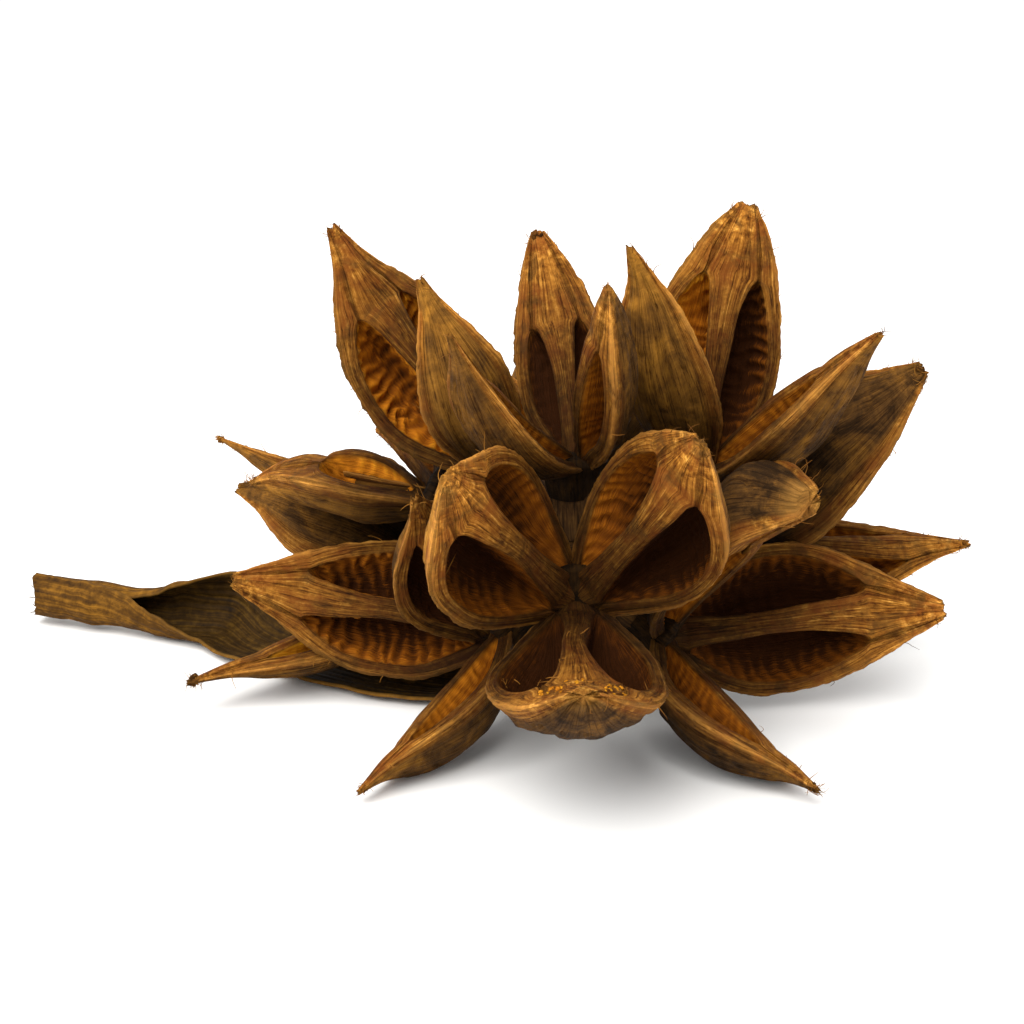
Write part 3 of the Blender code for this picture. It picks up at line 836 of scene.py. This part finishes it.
def add_litter(shape, one, points, along, out, seed):
    """The knob at a valve's tip, crumbs on its face, bits of fibre in its hollows and one stray fibre."""
    draw = np.random.default_rng(seed + 50)
    add_knob(shape, points[-3].mean(0), along, one["knob"], draw, seed)
    around = points.shape[1]
    for k in range(one["crumbs"]):
        row = int(ROWS * draw.uniform(*CRUMB_PLACE))
        column = draw.integers(BACK + RIM, around - RIM)
        way = unit(draw.normal(0, 1, 3))
        size = draw.uniform(*CRUMB_SIZE)
        trait = trait_of(tone=0.6, painted_hollow_light=draw.uniform(*CRUMB_PAINTED_LIGHT), along=0.8, rib=0.6)
        add_lump(shape, points[row, column], way, size, zone_of(hollow=0.75), trait, seed + k)
    for _ in range(LITTER_COUNT * one["debris"]):
        row = draw.integers(ROWS * LITTER_PLACE[0], ROWS * LITTER_PLACE[1])
        column = draw.integers(BACK + RIM, around)
        way = unit(draw.normal(0, 1, 3) - LITTER_RISE * out)
        length = draw.uniform(*LITTER_LENGTH)
        add_fibre(shape, points[row, column], way, length, draw.uniform(*LITTER_RADIUS), draw, seed)
    if one["stray"]:
        start = points[int(ROWS * STRAY_FROM), 0]
        target = points[int(ROWS * STRAY_TO), BACK + RIM + STRAY_COLUMN]
        add_fibre(shape, start, unit(target - start), STRAY_LENGTH, STRAY_RADIUS, draw, seed, STRAY_BEND)


# The cup, the stem and the branches
def round_grid(stations, sides):
    """Rings of points round a bent line of (centre, radius, direction)."""
    return np.array([centre + radius * circle(way, sides) for centre, radius, way in stations])


def add_bark(shape, rings, seed, relief, tone, lit_share=0.5):
    """A wrinkled round piece: grooves along it and knots across it."""
    sides = rings.shape[1]
    steps = np.linalg.norm(np.diff(rings.mean(1), axis=0), axis=1)
    u = np.concatenate([[0], np.cumsum(steps)])[:, None]
    turn = np.arange(sides)[None, :] / sides * 2 * math.pi
    radius = np.linalg.norm(rings[0, 0] - rings[0].mean(0))
    x = np.cos(turn) * radius
    y = np.sin(turn) * radius
    grooves = noise(x / GROOVE_WIDTH + u / GROOVE_LENGTH, y / GROOVE_WIDTH, seed, 2) * GROOVE_HEIGHT
    knots = noise(u / KNOT_SIZE + x / KNOT_WIDTH, y / KNOT_SIZE, seed + 1, 3)
    points = rings + outward(rings) * ((grooves + knots * KNOT_HEIGHT) * relief)[..., None]
    grain = stack(u, turn * radius, float(seed))
    # Where it lies from base to tip, which sets the husk skin's painted shade; the bark skin does not read it
    shape.grid(points, zone_of(back=1.0), trait_of(tone=tone, along=lit_share), grain)


def branch_line(base):
    """The foot on the stem's middle line of the branch to a capsule, and its unit direction."""
    foot = np.array([0.0, 0.0, min(BRANCH_HIGHEST, max(BRANCH_LOWEST, base[2] * BRANCH_RAKE))])
    return foot, unit(base - foot)


def add_cup(shape, base, axis, seed):
    """The cup that the valves grow from. It leans from the branch toward the star's axis."""
    _, way = branch_line(base)
    heights = np.linspace(CUP_RINGS[0][0], CUP_RINGS[-1][0], CUP_ROWS)
    radii = np.interp(heights, *np.array(CUP_RINGS).T)
    stations = []
    for height, radius in zip(heights, radii):
        lean = unit(way + axis * CUP_LEAN * float(step(*CUP_LEAN_START, height)))
        stations.append((base + lean * height, radius, lean))
    # The cup takes the darkest painted shade, that of the valves' base
    add_bark(shape, round_grid(stations, CUP_SIDES), seed, CUP_RELIEF, CUP_TONE, lit_share=0.0)


def make_capsule(number, name, base, valves, skin):
    """One star: its cup, three valves and their frayed fibres."""
    base = np.array(base, float)
    axis = unit(sum(direction(v["bearing"], v["lift"]) for v in valves))
    shape = Shape()
    add_cup(shape, base, axis, CUP_SEED + number * 10)
    for k, one in enumerate(valves):
        add_valve(shape, one, base, axis, 100 * (number + 1) + 20 * k)
    shape.finish(name.replace("capsule", "husk"), name, "husk", skin)


def add_branch(shape, base, seed):
    """A branch from inside the stem to inside a capsule's cup."""
    base = np.array(base, float)
    foot, way = branch_line(base)
    start = foot + way * BRANCH_ROOT_DEPTH
    end = base + way * (CUP_RINGS[0][0] + BRANCH_OVERLAP)
    growth = CUP_RINGS[0][1] - BRANCH_INSET - BRANCH_ROOT_RADIUS
    stations = [(start + (end - start) * share, BRANCH_ROOT_RADIUS + growth * share, way)
                for share in np.linspace(0, 1, BRANCH_ROWS)]
    add_bark(shape, round_grid(stations, BRANCH_SIDES), seed, BRANCH_RELIEF, BRANCH_TONE)


def make_stem(skin):
    """The bark-covered core with its cut end, and the branches."""
    shape = Shape()
    table = np.array([list(centre) + [radius] for centre, radius in STEM], float).T
    share = np.linspace(0, len(STEM) - 1, STEM_ROWS)
    fine = np.stack([smooth_line(list(enumerate(line)), share) for line in table], axis=1)
    centres = fine[:, :3]
    stations = [(c, r, unit(way)) for c, r, way in zip(centres, fine[:, 3], np.gradient(centres, axis=0))]
    add_bark(shape, round_grid(stations, STEM_SIDES), STEM_SEED, STEM_RELIEF, STEM_TONE)
    for number, (base, _) in enumerate(CAPSULES.values()):
        add_branch(shape, base, BRANCH_SEED + number)
    shape.finish("bark", "stem", "stem", skin)


# The leaf
def leaf_ring(middle, way, width, curl, turn, along, end):
    """The outline across the leaf, down one side and back up the other. along is how far it lies from the
    root, in millimetres, and end how far it belongs to the torn end."""
    side = unit(np.cross(way, (0, 0, 1)))
    up = np.cross(side, way)
    lean = math.radians(turn)
    half = math.radians(curl) / 2
    opening = up * math.cos(lean) - side * math.sin(lean)
    across = side * math.cos(lean) + up * math.sin(lean)
    radius = width / (2 * half)
    middle = middle + opening * (radius - LEAF_ROLL_RADIUS) * step(0.0, LEAF_ROLL_START, math.pi / 2 - half)
    wave = (noise(along / LEAF_SWELL_LENGTH, LEAF_COLUMNS * LEAF_SWELLS_ACROSS, 71, 2) * LEAF_SWELL
            + noise(along / LEAF_RIPPLE_LENGTH, LEAF_COLUMNS, 72) * LEAF_RIPPLE)
    w = LEAF_COLUMNS * width / 2
    veins = (VEIN_HEIGHT * np.cos(2 * math.pi * w / VEIN_SPACING)
             + VEINLET_HEIGHT * hills(along, w, VEINLET_SIZE, 73, 2))
    spiral = -LEAF_OVERLAP * LEAF_COLUMNS * step(*LEAF_OVERLAP_CURL, curl)
    edge = 1 + LEAF_EDGE_WAVE * noise(along / LEAF_EDGE_LENGTH, 0.5, 74, 2)
    sides = []
    for depth, order in ((0.0, 1), (LEAF_THICKNESS, -1)):
        r = (radius - depth + wave + veins + spiral)[::order, None]
        a = (LEAF_COLUMNS * half * edge)[::order, None]
        sides.append(middle + across * r * np.sin(a) - opening * r * np.cos(a))
    ring = np.concatenate(sides)
    ring[:, 2] += max(0.0, LEAF_CLEARANCE - ring[:, 2].min())
    near = (middle[1] - ring[:, 1]) / radius
    cut = LEAF_CUT * (0.5 + near) + LEAF_RAG_LENGTH * noise(LEAF_LOOP * LEAF_RAGS, 0.5, 75, 2)
    return ring - way * (cut * end)[:, None]


def make_leaf(skin):
    """A dried strap with parallel veins, cupped at its root and rolled to a tube at its end."""
    table = np.array([list(centre) + rest for centre, *rest in LEAF], float).T
    share = np.linspace(0, len(LEAF) - 1, LEAF_ROWS)
    fine = np.stack([smooth_line(list(enumerate(line)), share) for line in table], axis=1)
    centres = fine[:, :3]
    length = np.concatenate([[0], np.cumsum(np.linalg.norm(np.diff(centres, axis=0), axis=1))])
    ends = step(LEAF_CUT_START, 1.0, np.arange(LEAF_ROWS) / (LEAF_ROWS - 1))
    rings = [leaf_ring(row[:3], unit(way), *row[3:], along, end)
             for row, way, along, end in zip(fine, np.gradient(centres, axis=0), length, ends)]
    points = (np.array(rings) - (0, 0, HEAD_CENTRE[2])) @ head_axes()
    outer = np.repeat([1.0, 0.0], len(LEAF_COLUMNS))
    edge = np.exp(-((1 - np.abs(LEAF_LOOP)) / LEAF_EDGE_WIDTH) ** 2)
    zone = stack(outer[None, :], 0.0, edge[None, :], 0.0)
    grain = stack(length[:, None], LEAF_LOOP[None, :] * LEAF_GRAIN_WIDTH, 3.0)
    shape = Shape()
    shape.grid(points, zone, trait_of(), grain, flat=True)
    draw = np.random.default_rng(LEAF_SEED)
    for _ in range(LEAF_FIBRES):
        start = points[-1, draw.integers(0, points.shape[1])]
        way = unit(np.array(LEAF_FIBRE_WAY) + draw.normal(0, FRAY_SCATTER, 3))
        fibre = draw.uniform(*LEAF_FIBRE_LENGTH)
        add_fibre(shape, start, way, fibre, draw.uniform(*LEAF_FIBRE_RADIUS), draw, 3)
    shape.finish("strap_leaf", "leaf", "leaf", skin)


# Materials
class Nodes:
    """A short way to write a material's nodes."""

    def __init__(self, name):
        self.material = bpy.data.materials.new(name)
        self.material.use_nodes = True
        self.tree = self.material.node_tree
        self.shader = self.tree.nodes["Principled BSDF"]

    def join(self, value, socket):
        """Links a node's output to a socket, or sets the socket to a number or a colour."""
        if isinstance(value, (int, float)):
            socket.default_value = value
        elif isinstance(value, tuple):
            socket.default_value = value if len(value) == len(socket.default_value) else (*value, 1.0)
        else:
            self.tree.links.new(value, socket)

    def attribute(self, name):
        node = self.tree.nodes.new("ShaderNodeAttribute")
        node.attribute_name = name
        return node.outputs

    def split(self, color):
        node = self.tree.nodes.new("ShaderNodeSeparateColor")
        self.join(color, node.inputs["Color"])
        return node.outputs

    def noise(self, vector, scale, detail, roughness, warp):
        """Noise over a surface's grain or over its spots in the head's frame."""
        stretch = self.tree.nodes.new("ShaderNodeVectorMath")
        stretch.operation = "MULTIPLY"
        self.join(vector, stretch.inputs[0])
        stretch.inputs[1].default_value = scale
        node = self.tree.nodes.new("ShaderNodeTexNoise")
        self.join(stretch.outputs[0], node.inputs["Vector"])
        node.inputs["Scale"].default_value = 1.0
        node.inputs["Detail"].default_value = detail
        node.inputs["Roughness"].default_value = roughness
        node.inputs["Distortion"].default_value = warp
        return node.outputs["Fac"]

    def math(self, operation, first, second=0.0):
        node = self.tree.nodes.new("ShaderNodeMath")
        node.operation = operation
        self.join(first, node.inputs[0])
        self.join(second, node.inputs[1])
        return node.outputs[0]

    def blend(self, *parts, plus=None):
        """The sum of some values, each taken times its share, and of a number."""
        total = plus
        for value, share in parts:
            part = self.math("MULTIPLY", value, share)
            total = part if total is None else self.math("ADD", total, part)
        return total

    def ramp(self, factor, stops):
        node = self.tree.nodes.new("ShaderNodeValToRGB")
        self.join(factor, node.inputs["Fac"])
        while len(node.color_ramp.elements) < len(stops):
            node.color_ramp.elements.new(0.5)
        for element, (place_at, color) in zip(node.color_ramp.elements, stops):
            element.position = place_at
            element.color = (*color, 1.0)
        return node.outputs["Color"]

    def mix(self, factor, first, second, blend="MIX"):
        node = self.tree.nodes.new("ShaderNodeMix")
        node.data_type = "RGBA"
        node.blend_type = blend
        self.join(factor, node.inputs["Factor"])
        self.join(first, node.inputs["A"])
        self.join(second, node.inputs["B"])
        return next(o for o in node.outputs if o.type == "RGBA")

    def grey(self, value):
        """The same value in red, green and blue."""
        node = self.tree.nodes.new("ShaderNodeCombineColor")
        for key in ("Red", "Green", "Blue"):
            self.join(value, node.inputs[key])
        return node.outputs["Color"]

    def finish(self, color, varied, height, surface):
        """Sets the shader's colour, roughness, specular level and bump, and hands over the material."""
        roughness, change, specular, strength, depth = surface
        self.join(color, self.shader.inputs["Base Color"])
        self.join(self.blend((varied, change), plus=roughness), self.shader.inputs["Roughness"])
        self.shader.inputs["Specular IOR Level"].default_value = specular
        node = self.tree.nodes.new("ShaderNodeBump")
        node.inputs["Strength"].default_value = strength
        node.inputs["Distance"].default_value = depth
        self.join(height, node.inputs["Height"])
        self.join(node.outputs["Normal"], self.shader.inputs["Normal"])
        return self.material


def husk_skin():
    """Ochre fibrous faces, blotched grey-brown backs and amber hollows, with painted shade toward the base
    and deep in the hollows, and painted light toward the tips, on rib crests and in lit hollows; the rims are
    paler, partly fibre and partly painted highlight.
    """
    n = Nodes("husk_skin")
    zone = n.attribute("zone")
    trait = n.attribute("trait")
    back, hollow, edge = n.split(zone["Color"])
    tone, painted_hollow_light, along = n.split(trait["Color"])
    grain = n.attribute("grain")["Vector"]
    spot = n.attribute("spot")["Vector"]
    streaks = n.noise(grain, *HUSK_STREAKS)
    threads = n.noise(grain, *HUSK_THREADS)
    veins = n.noise(grain, *HUSK_VEINS)
    blotches = n.noise(spot, *HUSK_BLOTCHES)
    stains = n.noise(spot, *HUSK_STAINS)
    coarse = n.noise(spot, *HUSK_COARSE)
    combed = n.blend((streaks, COMBED_STREAKS), (threads, COMBED_THREADS))
    away = n.math("MULTIPLY", n.math("SUBTRACT", coarse, combed), n.ramp(along, TIP_RAMP))
    strands = n.math("ADD", combed, away)
    face = n.ramp(strands, FACE_RAMP)
    face = n.mix(n.ramp(blotches, RUDDY_RAMP), face, RUDDY)
    face = n.mix(n.ramp(stains, STAIN_RAMP), face, STAIN)
    paler = n.math("SUBTRACT", tone, MIDDLE)
    weather = n.blend((blotches, WEATHER_BLOTCHES), (strands, WEATHER_STRANDS), (paler, WEATHER_TONE))
    color = n.mix(back, face, n.ramp(weather, HUSK_RAMP))
    # Paler rims: partly the pale crumbly fibre, partly a painted highlight along the ridge
    color = n.mix(n.math("MULTIPLY", edge, RIM_TINT_AND_HIGHLIGHT_SHARE), color, RIM_TINT_AND_HIGHLIGHT)
    line = n.math("ABSOLUTE", n.math("SUBTRACT", veins, MIDDLE))
    color = n.mix(1.0, color, n.ramp(line, VEIN_RAMP), "MULTIPLY")
    # Painted shade toward the base and painted light toward the tip, paler edges, all times the valve's own
    # tone
    painted_shading_and_tone = n.blend((n.math("MULTIPLY", along, along), LIT_TIP_GAIN), (edge, EDGE_PALE_AND_HIGHLIGHT), plus=SHADED_BASE_LEVEL)
    painted_shading_and_tone = n.math("MULTIPLY", painted_shading_and_tone, n.blend((tone, TONE_GAIN), plus=TONE_BASE))
    color = n.mix(1.0, color, n.grey(painted_shading_and_tone), "MULTIPLY")
    # The valve's painted light in its hollows, about the middle
    painted_light_offset = n.math("SUBTRACT", painted_hollow_light, MIDDLE)
    # Lightness in a hollow: thread grain, painted light on rib crests and in lit hollows, and painted shade
    # deep down
    painted_light_and_grain = n.blend((trait["Alpha"], RIB_CREST_PAINTED_LIGHT), (threads, SHINE_THREADS), (painted_light_offset, HOLLOW_PAINTED_LIGHT_SHARE),
                    (zone["Alpha"], DEPTH_PAINTED_SHADE))
    color = n.mix(hollow, color, n.ramp(painted_light_and_grain, HOLLOW_RAMP))
    crease = n.math("MINIMUM", n.math("MULTIPLY", line, CREASE_SLOPE), CREASE_BUMP)
    height = n.blend((combed, HUSK_COMBED_BUMP), (coarse, HUSK_COARSE_BUMP), (crease, 1.0))
    return n.finish(color, threads, height, HUSK_SURFACE)


def bark_skin():
    """Dark grooved bark."""
    n = Nodes("bark_skin")
    grain = n.attribute("grain")["Vector"]
    grooves = n.noise(grain, *BARK_GROOVES)
    spots = n.noise(grain, *BARK_SPOTS)
    height = n.blend((grooves, BARK_GROOVE_SHARE), (spots, BARK_SPOT_SHARE))
    return n.finish(n.ramp(height, BARK_RAMP), spots, height, BARK_SURFACE)


def leaf_skin():
    """Olive-brown strap with faint veins and a mottled tan outer side."""
    n = Nodes("leaf_skin")
    outer, _, edge = n.split(n.attribute("zone")["Color"])
    grain = n.attribute("grain")["Vector"]
    veins = n.noise(grain, *LEAF_VEINS)
    blotches = n.noise(grain, *LEAF_BLOTCHES)
    mottle = n.noise(n.attribute("spot")["Vector"], *LEAF_MOTTLE)
    lines = n.blend((veins, LEAF_VEIN_SHARE), (blotches, LEAF_BLOTCH_SHARE), (mottle, LEAF_MOTTLE_SHARE))
    color = n.mix(outer, n.ramp(lines, LEAF_INNER_RAMP), n.ramp(lines, LEAF_OUTER_RAMP))
    color = n.mix(n.math("MULTIPLY", edge, LEAF_EDGE_SHARE), color, LEAF_EDGE_TINT)
    return n.finish(color, veins, lines, LEAF_SURFACE)


# Floor, light and camera
def make_floor():
    """A pale level floor, just under the head."""
    bpy.ops.mesh.primitive_plane_add(size=FLOOR_SIZE, location=(0, 0, -FLOOR_DROP))
    floor = bpy.context.active_object
    floor.name = "floor"
    skin = bpy.data.materials.new("floor_skin")
    skin.use_nodes = True
    shader = skin.node_tree.nodes["Principled BSDF"]
    shader.inputs["Base Color"].default_value = FLOOR_COLOR
    shader.inputs["Roughness"].default_value = FLOOR_ROUGHNESS
    floor.data.materials.append(skin)


def make_light():
    """A soft distant key light and an even white surround."""
    light = bpy.data.lights.new("key", "SUN")
    light.angle = KEY_WIDTH
    light.energy = KEY_STRENGTH
    light.color = KEY_COLOR
    lamp = bpy.data.objects.new("key", light)
    lamp.rotation_euler = Vector(KEY_SOURCE).to_track_quat("Z", "Y").to_euler()
    bpy.context.scene.collection.objects.link(lamp)
    world = bpy.data.worlds.new("studio")
    world.use_nodes = True
    background = world.node_tree.nodes["Background"]
    background.inputs["Color"].default_value = WHITE
    background.inputs["Strength"].default_value = WORLD_STRENGTH
    bpy.context.scene.world = world
    bpy.context.scene.view_settings.view_transform = "Standard"


def make_camera():
    """Straight on to the head's face, as far as the photograph's lens stood."""
    lens = bpy.data.cameras.new("camera")
    lens.lens = CAMERA_LENS
    lens.sensor_width = CAMERA_SENSOR
    camera = bpy.data.objects.new("camera", lens)
    turn = Matrix([list(row) for row in head_axes()])
    camera.matrix_world = Matrix.Translation(list(place(CAMERA_PLACE))) @ turn.to_4x4()
    bpy.context.scene.collection.objects.link(camera)
    bpy.context.scene.camera = camera


make_camera()
husk = husk_skin()
for number, (name, (base, valves)) in enumerate(CAPSULES.items()):
    make_capsule(number, name, base, valves, husk)
make_stem(bark_skin())
make_leaf(leaf_skin())
make_floor()
make_light()
